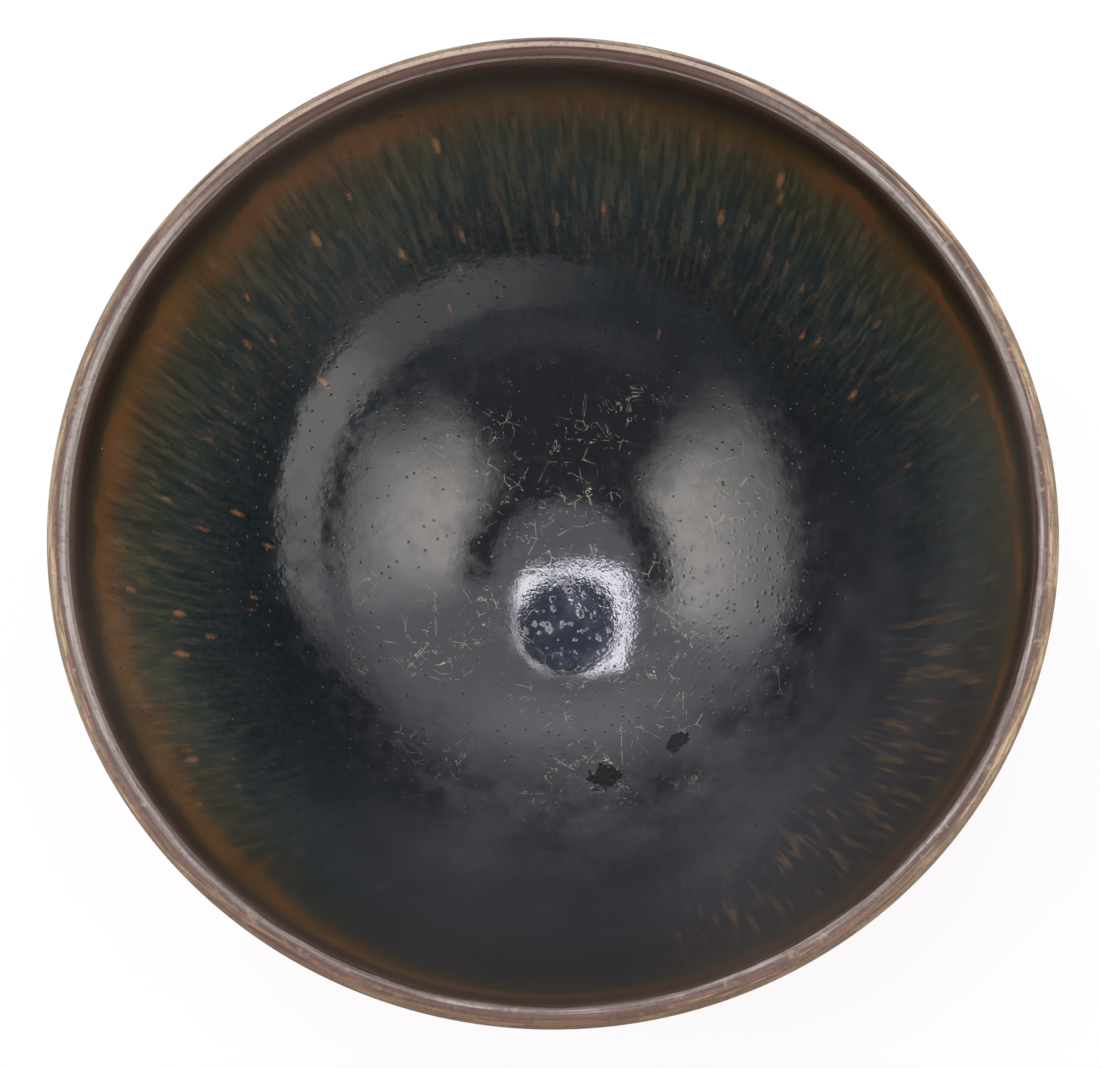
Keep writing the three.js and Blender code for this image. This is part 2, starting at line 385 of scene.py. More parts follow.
lip_angles = np.linspace(-LIP_LEAN, math.pi - LIP_LEAN, LIP_STEPS)
lip_outline = np.vstack([on_lip(LIP_RADIUS, lip_angles),
                         on_lip(CLAY_LIP_RADIUS - UNDER_CLAY, lip_angles[::-4])])

lip_coat = turned("lip_coat", lip_outline)
x, y, z = places_of(lip_coat).T
round_angle = np.arctan2(z - LIP_CENTRE[1], np.hypot(x, y) - LIP_CENTRE[0])
seen_inside = RIM_RADIUS - np.hypot(x, y)
keep_distance(lip_coat, np.where(round_angle > 0, seen_inside, round_angle * LIP_RADIUS))
out_of_true(lip_coat)
finished(lip_coat, "lip_glaze")

# %% [markdown]
# ## The coat outside
# The bowl was dipped upside down, held by the foot. In the fire the glaze crept down the wall and gathered
# in a thick roll above the bare clay, which hangs in drops where it ran furthest. A spin gives the coat the
# same section all round, and each section is then drawn again for its own angle, with its own edge and its
# own drops.

# %% How the glaze ran
COAT_OUTSIDE = 0.95
COAT_OUTSIDE_AT_LIP = 0.4
BARE_WALL = 8.5
EDGE_WAVE = 0.9
ROLL_THICKNESS = 1.9
ROLL_NOSE = 1.7
ROLL_TAPER = 9.0
DROP_THICKNESS = 2.7
DROP_WIDTH = 9.5
LONGEST_DROP = 5.6
SEAT_GAP = 0.3
DROPS = [(0.06, 0.55), (0.235, 1), (0.31, 0.42), (0.52, 0.7), (0.66, 0.5), (0.87, 0.85)]
WAVES = [(2, 0.5), (5, 0.32), (9, 0.18)]
THIN_FROM = 0.43
BLENDS_INTO_LIP = 3
NOSE_TURNS = np.linspace(0, math.pi / 2, 10)[1:-1]
UP_SHARES = np.linspace(0, 1, 120) ** 1.25
UNDER_STEPS = 40


def drop_share(angle):
    """How much of a drop hangs at an angle, from 0 beside it to its own length's share in its middle."""
    half = DROP_WIDTH / KNEE[0] / 2
    share = 0.0
    for place, length in DROPS:
        apart = abs((angle - place * 2 * math.pi + math.pi) % (2 * math.pi) - math.pi)
        if apart < half:
            share = max(share, length * (1 + math.cos(math.pi * apart / half)) / 2)
    return share


def outside_thickness(above_edge, full, share_up):
    """A round nose, a full roll, a long taper, and a coat that thins towards the lip."""
    nose = full * np.sqrt(1 - np.clip(1 - above_edge / ROLL_NOSE, 0, 1) ** 2)
    wall = COAT_OUTSIDE + (COAT_OUTSIDE_AT_LIP - COAT_OUTSIDE) * ease(share_up, THIN_FROM, 1)
    thinned = ease(above_edge - ROLL_NOSE, 0, ROLL_TAPER)
    return np.where(above_edge < ROLL_NOSE, nose, full + (wall - full) * thinned)


def outside_section(angle):
    """The coat's closed section at an angle, and how far each of its points is from the rim."""
    drop = drop_share(angle)
    wave = sum(height * math.sin(count * angle + i) for i, (count, height) in enumerate(WAVES))
    edge = BARE_WALL + EDGE_WAVE * wave - LONGEST_DROP * drop
    full = ROLL_THICKNESS + (DROP_THICKNESS - ROLL_THICKNESS) * drop
    nose_end = edge + ROLL_NOSE
    up = np.concatenate([edge + ROLL_NOSE * (1 - np.cos(NOSE_TURNS)),
                         nose_end + (OUTSIDE_LENGTH - nose_end) * UP_SHARES])
    thickness = outside_thickness(up - edge, full, up / OUTSIDE_LENGTH) + SEAT_GAP * ease(up, edge, nose_end)
    thickness += (COAT_AT_LIP - thickness) * ease(up, OUTSIDE_LENGTH - BLENDS_INTO_LIP, OUTSIDE_LENGTH)
    surface = walk(clay_outside, up) + square_to(clay_outside, up) * thickness[:, None]
    under = np.linspace(OUTSIDE_LENGTH, edge, UNDER_STEPS)
    underside = walk(clay_outside, under) - square_to(clay_outside, under) * UNDER_CLAY
    lap = tucked(-LIP_LEAN, 1)[1:]
    beyond_lip = -LIP_RADIUS * LIP_LEAN
    from_rim = np.concatenate([up - OUTSIDE_LENGTH, np.zeros(len(lap)), under - OUTSIDE_LENGTH]) + beyond_lip
    return np.vstack([surface, lap, underside]), from_rim


print(len(DROPS), "drops, the longest", LONGEST_DROP, "mm")

# %% Spin the coat, then draw each section for its own angle
first_outline, _ = outside_section(0)
outside_coat = turned("outside_coat", first_outline)
point = outline_numbers(outside_coat, first_outline)
x, y, z = places_of(outside_coat).T
column = np.round(np.arctan2(y, x) / (2 * math.pi) * AROUND).astype(int) % AROUND

sections = [outside_section(2 * math.pi * i / AROUND) for i in range(AROUND)]
radius, height = np.array([section for section, _ in sections])[column, point].T
turn = 2 * math.pi * column / AROUND
put_places(outside_coat, np.stack([radius * np.cos(turn), radius * np.sin(turn), height], axis=1))
keep_distance(outside_coat, np.array([distance for _, distance in sections])[column, point])
out_of_true(outside_coat)
finished(outside_coat, "outer_glaze")

# %% [markdown]
# ## Finishes
# Every finish is a small graph of nodes. One function adds a node: its properties, its inputs as numbers or
# as other nodes, and a ramp's stops. Colours are written as they look on a screen and turned to linear
# light.

# %% Colours, nodes and empty finishes


def linear(code):
    """The linear colour of a screen colour such as "#5c4a35"."""
    parts = [int(code[i:i + 2], 16) / 255 for i in (1, 3, 5)]
    return (*[c / 12.92 if c <= 0.04045 else ((c + 0.055) / 1.055) ** 2.4 for c in parts], 1)


def add(tree, kind, properties=None, inputs=None, stops=None):
    """Adds one node. An input is a value, a node (its first output) or a node's output."""
    node = tree.nodes.new("ShaderNode" + kind)
    for name, value in (properties or {}).items():
        setattr(node, name, value)
    for key, value in (inputs or {}).items():
        if isinstance(value, bpy.types.Node):
            value = value.outputs[0]
        if isinstance(value, bpy.types.NodeSocket):
            tree.links.new(value, node.inputs[key])
        else:
            node.inputs[key].default_value = value
    for number, (place, colour) in enumerate(stops or []):
        ramp = node.color_ramp.elements
        stop = ramp[number] if number < 2 else ramp.new(place)
        stop.position, stop.color = place, colour
    return node


def new_finish(name):
    """An empty material, and its tree."""
    finish = bpy.data.materials.new(name)
    finish.use_nodes = True
    finish.node_tree.nodes.clear()
    return finish, finish.node_tree


def dress(piece, finish, surface, relief=None):
    """Ends a finish with its surface, bumped by a relief in millimetres, and gives it to its piece."""
    tree = finish.node_tree
    if relief:
        surface["Normal"] = add(tree, "Bump", None, {"Strength": 1.0, "Distance": MM, "Height": relief})
    shader = add(tree, "BsdfPrincipled", None, surface)
    add(tree, "OutputMaterial", None, {"Surface": shader})
    piece.data.materials.append(finish)
    print(finish.name, "is on", piece.name, "and has", len(tree.nodes), "nodes")


print("a screen's middle grey is", round(linear("#808080")[0], 3), "in linear light")

# %% [markdown]
# A finish is built up in layers: a ground colour first, then what lies over it. A mask says where a layer
# lies. It is 1 there and 0 elsewhere, with soft edges, and masks and weights are multiplied.

# %% Masks, and layers of colour


def both(tree, *masks):
    """The product of masks or numbers."""
    product = masks[0]
    for mask in masks[1:]:
        product = add(tree, "Math", {"operation": "MULTIPLY"}, {0: product, 1: mask})
    return product


def zone(tree, value, rise, fall=None):
    """A mask that rises softly between two values, and falls again between two higher ones.

    A rise written from high to low gives the mask turned round: 1 below it and 0 above.
    """
    masks = [add(tree, "MapRange", {"interpolation_type": "SMOOTHSTEP"},
                 {"Value": value, "From Min": start, "From Max": end})
             for start, end in [rise] + ([fall[::-1]] if fall else [])]
    return both(tree, *masks)


def coated(tree, colour, *layers):
    """A colour with layers over it, each one a screen colour and then the masks and weights it lies by."""
    for code, *masks in layers:
        mask = both(tree, *masks)
        colour = add(tree, "MixRGB", None, {"Fac": mask, "Color1": colour, "Color2": linear(code)})
    return colour


def summed(tree, *terms):
    """The sum of terms, each a mask or a number times a weight."""
    total = 0.0
    for value, weight in terms:
        total = add(tree, "Math", {"operation": "MULTIPLY_ADD"}, {0: value, 1: weight, 2: total})
    return total


print("tools for layers:", ", ".join(tool.__name__ for tool in (both, zone, coated, summed)))

# %% [markdown]
# Two patterns serve the finishes, and both are measured in millimetres on the bowl itself: an even noise
# for grit, clouds and dimples, and round spots for pits and specks. Painted pictures would do too, but
# these stay sharp at any distance.

# %% Grain and spots


def grain(tree, size, detail=2.0, roughness=0.5, seed=(0, 0, 0), distortion=0.0):
    """Even noise whose lumps are this many millimetres across."""
    place = add(tree, "TexCoord").outputs["Object"]
    moved = add(tree, "Mapping", None, {"Vector": place, "Location": seed, "Scale": (1 / MM / size,) * 3})
    return add(tree, "TexNoise", None, {"Vector": moved, "Scale": 1.0, "Detail": detail,
                                        "Roughness": roughness, "Distortion": distortion})


def spots(tree, apart, edge, chosen):
    """Round spots in cells this many millimetres wide. Their edge is a pair of shares of the cell."""
    place = add(tree, "TexCoord").outputs["Object"]
    cells = add(tree, "TexVoronoi", None, {"Vector": place, "Scale": 1 / MM / apart})
    pick = add(tree, "SeparateColor", None, {"Color": cells.outputs["Color"]})
    kept = zone(tree, pick, (1 - chosen, 1.01 - chosen))
    return both(tree, zone(tree, cells.outputs["Distance"], edge[::-1]), kept)


print("patterns:", grain.__name__, "and", spots.__name__)

# %% [markdown]
# ## Bare stoneware, turned and toasted
# Iron-bearing stoneware, cut with a knife and fired without glaze. It is dull and gritty, toasted from buff
# to purplish brown where the flame reached it, freckled with iron, and scored by the grit that the knife
# dragged. Its grit is mostly finer than a tenth of a millimetre, and is drawn coarser here so that it
# shows.

# %% The finish of the clay
GRIT_SIZE = 0.35
IRON_SPOT_SPACING = 1.6
TOASTED = [(0.3, "#6e4c38"), (0.72, "#a58468"), (0.5, "#8d6a50")]
SCORE_SPACING = 0.3
SCORED_CLAY = "#c0a285"
IRON_SPOT = "#3a241a"
SCORE_DEPTH, GRIT_DEPTH = 0.10, 0.06

bare_stoneware, tree = new_finish("bare_stoneware_turned")
toasted = add(tree, "ValToRGB", None, {"Fac": grain(tree, 9, detail=4, roughness=0.6)},
              [(place, linear(code)) for place, code in TOASTED])
scored_space = add(tree, "Mapping", None, {"Vector": add(tree, "TexCoord").outputs["Object"],
                                           "Scale": (60, 60, 1 / MM / SCORE_SPACING)})
scoring = add(tree, "TexNoise", None, {"Vector": scored_space, "Scale": 1.0, "Detail": 4.0, "Roughness": 0.7})
iron_spots = spots(tree, IRON_SPOT_SPACING, (0.06, 0.2), 0.35)
freckled = coated(tree, toasted,
                  (SCORED_CLAY, zone(tree, scoring, (0.52, 0.72)), 0.45),
                  (IRON_SPOT, iron_spots, 0.85))
grit = grain(tree, GRIT_SIZE, detail=3, roughness=0.6)
relief = add(tree, "Math", {"operation": "MULTIPLY_ADD"},
             {0: scoring, 1: SCORE_DEPTH, 2: both(tree, grit, GRIT_DEPTH)})
dress(clay_body, bare_stoneware,
      {"Base Color": freckled, "Roughness": 0.86, "IOR": 1.5, "Specular IOR Level": 0.3}, relief)

# %% [markdown]
# ## Streaks and bands in the glaze
# A hare's fur pattern runs down the wall, so its noise is drawn out along it. Round the bowl it reads the
# direction from the axis, which makes streaks converge on the well as real ones do, and down the wall it
# reads the stored distance from the rim. Streak sizes are given in millimetres, at a radius of 50 mm.

# %% Streaks that run to the well
STREAK_RADIUS = 50
FROM_RIM = {"attribute_name": "from_rim"}


def down_the_bowl(tree, width, length, shift=0.0):
    """Pattern space that is counted in streak widths round the bowl and in streak lengths down it."""
    place = add(tree, "TexCoord").outputs["Object"]
    level = add(tree, "VectorMath", {"operation": "MULTIPLY"}, {0: place, 1: (1, 1, 0)})
    outward = add(tree, "VectorMath", {"operation": "NORMALIZE"}, {0: level})
    distance = add(tree, "Attribute", FROM_RIM).outputs["Fac"]
    down = add(tree, "Math", {"operation": "MULTIPLY_ADD"}, {0: distance, 1: 1 / length, 2: shift})
    below = add(tree, "CombineXYZ", None, {"Z": down})
    around = STREAK_RADIUS / width
    return add(tree, "VectorMath", {"operation": "MULTIPLY_ADD"},
               {0: outward, 1: (around, around, 0), 2: below})


def streaks(tree, width, length, edge, shift=0.0, detail=2.0):
    """A mask of streaks of this width and length in millimetres: 0 between them, 1 in their middle."""
    space = down_the_bowl(tree, width, length, shift)
    noise = add(tree, "TexNoise", None, {"Vector": space, "Scale": 1.0, "Detail": detail, "Roughness": 0.55})
    return zone(tree, noise, edge)


print("a streak 1 mm wide takes up", round(math.degrees(1 / STREAK_RADIUS), 2), "degrees of the round")

# %% [markdown]
# Iron glaze is coloured by how thick it lies. On the lip it has run off and been rubbed to tan clay. Just
# below it is brown, then comes a band of rust where iron crystals grew, then olive and teal, and black
# where it is thick. One ramp holds those colours by distance from the rim. A bowl stands unevenly in the
# flame, so another mask picks one side of it, for what differs from side to side.

# %% A ramp of bands, and the sides of the bowl


def bands(tree, distance, colours):
    """Colours by distance from the rim in millimetres, given from the lowest distance up."""
    first, last = colours[0][0], colours[-1][0]
    share = add(tree, "MapRange", None, {"Value": distance, "From Min": first, "From Max": last})
    stops = [((place - first) / (last - first), linear(code)) for place, code in colours]
    return add(tree, "ValToRGB", None, {"Fac": share}, stops)


def side(tree, towards, edge):
    """A mask of the side that faces a direction in the level plane. Its edge is a pair of cosines."""
    place = add(tree, "TexCoord").outputs["Object"]
    level = add(tree, "VectorMath", {"operation": "MULTIPLY"}, {0: place, 1: (1, 1, 0)})
    outward = add(tree, "VectorMath", {"operation": "NORMALIZE"}, {0: level})
    facing = add(tree, "VectorMath", {"operation": "DOT_PRODUCT"}, {0: outward, 1: towards})
    return zone(tree, facing.outputs["Value"], edge)


LEFT, RIGHT = (-0.98, -0.2, 0), (0.97, 0.0, 0)
NEAR, NEAR_RIGHT = (0.15, -0.99, 0), (0.35, -0.94, 0)
FAR = (0.15, 0.99, 0)
print("sides of the bowl, as directions:", LEFT, RIGHT, NEAR, NEAR_RIGHT, FAR)

# %% [markdown]
# ## Hare's fur glaze, poured inside
# The name is for the fine olive and rust streaks in the black. Liquid iron gathered in the bubbles that
# burst on the way down, and left a soft streak below each. It is glass: smooth and bright, with the faint
# dimples of glaze that boiled and healed, and a few open pits. The streaks pull each band's colour further
# down the wall. The bands come a little later on the left, and sooner on the right and near sides, where
# the rust is duller.

# %% The bands of the inside
# The first two stops are lighter: paler worn glaze where the lip's flank runs on, lightened further as a
# painted highlight.
INSIDE_BANDS = [(2.2, "#5c4e44"), (2.7, "#4c3c31"), (3.4, "#271a12"), (4.1, "#1d140c"), (4.9, "#262012"),
                (5.7, "#35270f"), (6.5, "#3a2a14"), (7.8, "#2e291b"), (9.5, "#22261d"), (12.0, "#182221"),
                (17.0, "#121a1d"), (24.0, "#0d1317"), (34.0, "#0a0d12"), (62.5, "#080a0e")]
PULL_OF_STREAKS = 8.5
UNEVEN_HIGH_UP, UNEVEN_LOWER = 1.2, 4.8
LATE_ON_LEFT = 0.5
EARLY_NEAR_BY = 2.4
EARLY_ON_RIGHT_BY = 1.5

hare_fur, tree = new_finish("hare_fur_glaze_poured")
here = add(tree, "TexCoord").outputs["Object"]
from_rim = add(tree, "Attribute", FROM_RIM).outputs["Fac"]
fine_fur = streaks(tree, 1.1, 6.0, (0.2, 0.9), detail=1.0)
broad_fur = streaks(tree, 3.2, 14.0, (0.2, 0.9), shift=4, detail=1.0)
pull = add(tree, "MapRange", None, {"Value": from_rim, "From Min": 5.0, "From Max": 24.0,
                                    "To Max": PULL_OF_STREAKS})
pulled = both(tree, pull, summed(tree, (fine_fur, 0.6), (broad_fur, 0.4)))
uneven = add(tree, "Math", {"operation": "SUBTRACT"}, {0: grain(tree, 16, detail=1), 1: 0.5})
uneven_here = add(tree, "MapRange", None, {"Value": from_rim, "From Min": 3.0, "From Max": 16.0,
                                           "To Min": UNEVEN_HIGH_UP, "To Max": UNEVEN_LOWER})
left_side = side(tree, LEFT, (-0.2, 0.9))
near_side = side(tree, NEAR, (0.2, 0.95))
near_right_side = side(tree, NEAR_RIGHT, (0.2, 0.95))
late = both(tree, left_side, zone(tree, from_rim, (3.5, 8.0)), -LATE_ON_LEFT)
early = both(tree, near_right_side, zone(tree, from_rim, (3.0, 5.5)), EARLY_NEAR_BY)
early_right = both(tree, side(tree, RIGHT, (0.55, 0.97)), zone(tree, from_rim, (4.5, 7.0)), EARLY_ON_RIGHT_BY)
reach = summed(tree, (from_rim, 1.0), (pulled, -1.0), (both(tree, uneven, uneven_here), 1.0),
               (late, 1.0), (early, 1.0), (early_right, 1.0))
inside_colour = bands(tree, reach, INSIDE_BANDS)
print("bands from", INSIDE_BANDS[0][0], "to", INSIDE_BANDS[-1][0], "mm in from the rim")

# %% The rust among them
NEAR_BROWN, RUST, RED_SEAM = "#3a2d24", "#583c1e", "#5f361e"

rust_clouds = zone(tree, grain(tree, 9), (0.15, 0.7))
seam_wander = zone(tree, grain(tree, 5, detail=3, roughness=0.6, seed=(3, 1, 8)), (0.2, 0.8))
red_reach = summed(tree, (reach, 1.0), (seam_wander, 1.6))
seam_here = [zone(tree, red_reach, (5.6, 6.5), (6.6, 8.0)), zone(tree, grain(tree, 12), (0.40, 0.62)),
             zone(tree, near_side, (0.95, 0.35)), zone(tree, side(tree, FAR, (0.8, 0.97)), (1.25, 0.0))]
rusted = coated(tree, inside_colour,
                (NEAR_BROWN, near_side, zone(tree, from_rim, (2.6, 3.2), (4.4, 5.6)), 0.8),
                (RUST, zone(tree, reach, (4.6, 5.8), (6.2, 8.2)), left_side, rust_clouds, 0.55),
                (RED_SEAM, *seam_here, 0.4))
print("bands and rust:", len(tree.nodes), "nodes")

# %% [markdown]
# The fur itself is soft. It is densest on the far left and fades round to the near right. Olive streaks lie
# over the bands first, then blackish gaps between them, then a few thin brown hairs, and a dark mottle in
# the black.

# %% The fur
FUR, FUR_GAP, THIN_FUR, MOTTLE = "#4b4735", "#0c171a", "#6a5238", "#040506"
FUR_SIDE = (-0.45, 0.89, 0)
LEAST_FUR = 0.15
SHORTER_ON_LEFT_BY = 3.5

fur_side = add(tree, "MapRange", None, {"Value": side(tree, FUR_SIDE, (-0.8, 0.5)), "To Min": LEAST_FUR})
shorter = both(tree, left_side, zone(tree, from_rim, (6.0, 12.0)))
fur_depth = summed(tree, (from_rim, 1.0), (shorter, SHORTER_ON_LEFT_BY))
fur_here = both(tree, zone(tree, fur_depth, (4.8, 8.0), (14.0, 28.0)), fur_side)
mottle = zone(tree, grain(tree, 0.8, detail=5, roughness=0.7, seed=(2, 4, 6)), (0.58, 0.36))
furred = coated(tree, rusted,
                (FUR, streaks(tree, 0.9, 4.0, (0.34, 0.95), shift=9), fur_here, 0.62),
                (FUR_GAP, streaks(tree, 0.8, 5.0, (0.40, 0.95), shift=33), fur_here, 0.80),
                (THIN_FUR, streaks(tree, 0.8, 2.4, (0.48, 0.98), shift=55), fur_here, 0.5),
                (MOTTLE, mottle, zone(tree, from_rim, (10, 20), (63, 64)), 0.45))
print("with the fur:", len(tree.nodes), "nodes")

# %% [markdown]
# Where a bubble carried iron up and burst, it left a rust spot with a ragged edge, a little drawn out down
# the wall. Smaller bubbles left open pits, which look black, and specks of pale grit stuck to the glaze.

# %% Rust spots, pits and specks
RUST_SPOT, PIT, SPECK = "#7c5433", "#050607", "#8f9086"
SPOT_WIDTH, SPOT_LENGTH = 2.7, 4.8

spot_space = down_the_bowl(tree, SPOT_WIDTH, SPOT_LENGTH, shift=3.0)
spot_cells = add(tree, "TexVoronoi", None, {"Vector": spot_space, "Scale": 1.0})
spot_pick = add(tree, "SeparateColor", None, {"Color": spot_cells.outputs["Color"]})
ragged_edge = grain(tree, 0.5, detail=3, roughness=0.6)
spot_edge = summed(tree, (spot_cells.outputs["Distance"], 1.0), (ragged_edge, 0.28), (-0.14, 1.0))
spot_reach = both(tree, spot_pick.outputs["Green"], 0.10)
spot_size = add(tree, "Math", {"operation": "SUBTRACT"}, {0: spot_edge, 1: spot_reach})
spot_zone = both(tree, zone(tree, from_rim, (6, 8), (20, 34)), fur_side)
rust_spots = both(tree, zone(tree, spot_size, (0.15, -0.08)), zone(tree, spot_pick, (0.50, 0.52)), spot_zone)
pits = spots(tree, 1.1, (0.04, 0.20), 0.5)
specks = spots(tree, 2.9, (0.015, 0.045), 0.22)
specked = coated(tree, furred,
                 (RUST_SPOT, rust_spots, 0.85),
                 (PIT, pits, 0.55),
                 (SPECK, specks, 0.7))
print("with spots, pits and specks:", len(tree.nodes), "nodes")

# %% [markdown]
# The near side is duller, and a painted grey sheen in cloudy patches stands for its hazy reflection. Its
# black is warmer close to the rim, and at the near right long brown streaks run down from the rust. Each is
# one more layer, held to its side by a mask.

# %% The near side's painted sheen and its long streaks
# The first colour is a painted sheen: grey haze that stands for reflected light on the near side.
PAINTED_SHEEN_GREY, NEAR_BLACK, WARM_BLACK, LONG_STREAK = "#2e2e31", "#1e1f22", "#2c2622", "#5a4429"
SHEEN_SIDE, LONG_SIDE = (0.5, -0.87, 0), (0.77, -0.64, 0)

painted_sheen_mask = side(tree, SHEEN_SIDE, (-0.1, 0.9))
painted_sheen_clouds = zone(tree, grain(tree, 7, detail=3, seed=(1, 7, 7)), (0.15, 0.8))
long_zone = both(tree, zone(tree, from_rim, (5, 9), (17, 26)), side(tree, LONG_SIDE, (0.74, 0.95)))
near_side_sheen_and_streaks = coated(tree, specked,
                (PAINTED_SHEEN_GREY, painted_sheen_mask, zone(tree, from_rim, (12, 20), (38, 48)), painted_sheen_clouds, 0.85),
                (NEAR_BLACK, near_right_side, zone(tree, from_rim, (5.5, 9.0), (22, 34)), 0.75),
                (WARM_BLACK, side(tree, SHEEN_SIDE, (0.3, 0.9)), zone(tree, from_rim, (4.5, 6.0), (10, 20)),
                 0.5),
                (LONG_STREAK, streaks(tree, 1.0, 5.0, (0.48, 0.84), shift=21), long_zone, 0.6))
print("with the near side:", len(tree.nodes), "nodes")

# %% [markdown]
# In the well the pool is deep enough to look blue, with pale clouds of tiny bubbles in it. Larger ones
# burst and left rings. Rings could be modelled, but they are a fiftieth of a millimetre high, so a pattern
# of cells draws them. It is warped, because burst bubbles aren't round, and chooses the cells that have a
# ring.

# %% The pool in the well and its burst bubbles
POOL_BLUE, POOL_CLOUD, BUBBLE_RING = "#151c28", "#3b404b", "#7d7a74"
WELL_RADIUS = 7.5
BUBBLE_SPACING = 1.35
UNROUND_BY = 0.9

from_axis = add(tree, "Math", {"operation": "SUBTRACT"}, {0: RIM_RADIUS, 1: from_rim})
well = zone(tree, from_axis, (WELL_RADIUS + 1.5, WELL_RADIUS - 1.5))
warp = grain(tree, 0.9, roughness=0.6, seed=(6, 1, 3)).outputs["Color"]
unround = add(tree, "VectorMath", {"operation": "MULTIPLY_ADD"},
              {0: warp, 1: (UNROUND_BY * MM,) * 3, 2: here})
bubbles = add(tree, "TexVoronoi", None, {"Vector": unround, "Scale": 1 / MM / BUBBLE_SPACING})
bubble_pick = add(tree, "SeparateColor", None, {"Color": bubbles.outputs["Color"]})
bubble_place = summed(tree, (bubbles.outputs["Distance"], 1.0), (bubble_pick.outputs["Blue"], 0.14))
bubble_ring = both(tree, zone(tree, bubble_place, (0.23, 0.31), (0.36, 0.46)),
                   zone(tree, bubble_pick, (0.22, 0.24)), zone(tree, grain(tree, 4), (0.38, 0.55)), well)
clouds = zone(tree, grain(tree, 3.5, detail=4, roughness=0.6, seed=(4, 4, 6)), (0.42, 0.68))
pooled = coated(tree, near_side_sheen_and_streaks,
                (POOL_BLUE, well, 0.9),
                (POOL_CLOUD, clouds, well, 0.6),
                (BUBBLE_RING, bubble_ring, 0.5))
print("with the well:", len(tree.nodes), "nodes")

# %% [markdown]
# Years of whisking scratched the glaze round the well. The marks are too many to draw one by one, so most
# are the thin line where a slow noise has one value, which curls. A few are straight lines between cells.
# Both are broken up, and lie in worn patches only.

# %% The scratches of a whisk
SCRATCH = "#98937a"
SCRATCH_SIZE = 3.6
CRACK_SPACING = 5.5

curl = grain(tree, SCRATCH_SIZE, detail=3, roughness=0.55, seed=(3, 8, 1), distortion=0.8)
curl_line = zone(tree, curl, (0.4905, 0.4955), (0.498, 0.503))
cracks = add(tree, "TexVoronoi", {"feature": "DISTANCE_TO_EDGE"},
             {"Vector": here, "Scale": 1 / MM / CRACK_SPACING})
crack_line = both(tree, zone(tree, cracks.outputs["Distance"], (0.013, 0.005)), 0.4)
broken = zone(tree, grain(tree, 1.6, detail=3, roughness=0.6, seed=(2, 9, 4)), (0.46, 0.56))
worn = both(tree, zone(tree, grain(tree, 8, seed=(5, 1, 9)), (0.42, 0.58)),
            zone(tree, from_rim, (31, 40), (55, 58)))
any_line = add(tree, "Math", {"operation": "MAXIMUM"}, {0: curl_line, 1: crack_line})
scratches = both(tree, any_line, broken, worn)
scratched = coated(tree, pooled, (SCRATCH, scratches, 0.75))
print("with the scratches:", len(tree.nodes), "nodes")

# %% [markdown]
# Two small chips lie on the near side of the well. They are shallow, so they need no hole in the mesh. Each
# is a ragged patch round its centre, in metres, with its radius in millimetres. It is black and dull, and
# relief tilts its floor like the scar of a flake.

# %% Two chips
CHIPPED = "#07090b"
CHIPS = [((0.0034, -0.0224, 0.0218), 2.2), ((0.0124, -0.0180, 0.0213), 1.5)]
CHIP_SLOPE = (-0.1, -0.5, 0)

chip_edge = grain(tree, 1.1, detail=3, roughness=0.6, seed=(8, 3, 3))
chipped = 0.0
chip_floor = 0.0
for centre, radius in CHIPS:
    from_centre = add(tree, "VectorMath", {"operation": "SUBTRACT"}, {0: here, 1: centre})
    off_chip = add(tree, "VectorMath", {"operation": "LENGTH"}, {0: from_centre}).outputs["Value"]
    chip_size = summed(tree, (off_chip, 1 / MM / radius), (chip_edge, 1.6), (-0.8, 1.0))
    chip = zone(tree, chip_size, (0.9, 0.75))
    slope = add(tree, "VectorMath", {"operation": "DOT_PRODUCT"}, {0: from_centre, 1: CHIP_SLOPE})
    chip_floor = summed(tree, (chip_floor, 1.0), (both(tree, chip, slope.outputs["Value"]), 1 / MM))
    chipped = add(tree, "Math", {"operation": "MAXIMUM"}, {0: chipped, 1: chip})
chipped_glaze = coated(tree, scratched, (CHIPPED, chipped, 0.9))
print("chips:", len(CHIPS), "of", [radius for _, radius in CHIPS], "mm radius")

# %% [markdown]
# The gloss comes last, because it decides how the room shows in the glaze. Fired glaze has orange peel and
# slow swells, lumps where it is thick, and a frosting of fine beads round the middle of the well. All of it
# is shallow, so it is relief, in millimetres. Roughness is a low base and what adds to it: scratches, dull
# patches, the near side, and the matt iron close to the rim.

# %% The relief of the inside
WELL_MIDDLE = (-0.0022, -0.0022, 0.0163)
BEAD_SIZE = 0.38
CHIP_UNEVEN_BY = 0.25

peel = grain(tree, 1.1, seed=(7, 2, 4))
peel_here = zone(tree, grain(tree, 7, detail=1, seed=(9, 9, 2)), (0.3, 0.7))
swell = grain(tree, 5.0, detail=1, seed=(1, 6, 2))
from_middle = add(tree, "VectorMath", {"operation": "DISTANCE"}, {0: here, 1: WELL_MIDDLE}).outputs["Value"]
frosted = zone(tree, from_middle, (5.8 * MM, 6.6 * MM), (10.0 * MM, 12.0 * MM))
beads = add(tree, "TexVoronoi", None, {"Vector": here, "Scale": 1 / MM / BEAD_SIZE}).outputs["Distance"]
lumps = both(tree, grain(tree, 2.2, roughness=0.6, seed=(5, 5, 1)), zone(tree, from_axis, (17.0, 12.0)),
             zone(tree, from_middle, (6.0 * MM, 11.0 * MM)))
soft_pits = both(tree, spots(tree, 0.9, (0.08, 0.42), 0.5), side(tree, RIGHT, (0.6, 0.95)),
                 zone(tree, from_rim, (34, 38), (50, 54)))
pebbles = both(tree, grain(tree, 0.3, detail=1, seed=(1, 2, 9)), well)
worn_grain = both(tree, grain(tree, 0.4, roughness=0.6, seed=(1, 4, 4)), zone(tree, from_rim, (22, 32)))
broken_floor = both(tree, chipped, grain(tree, 0.7, detail=3))
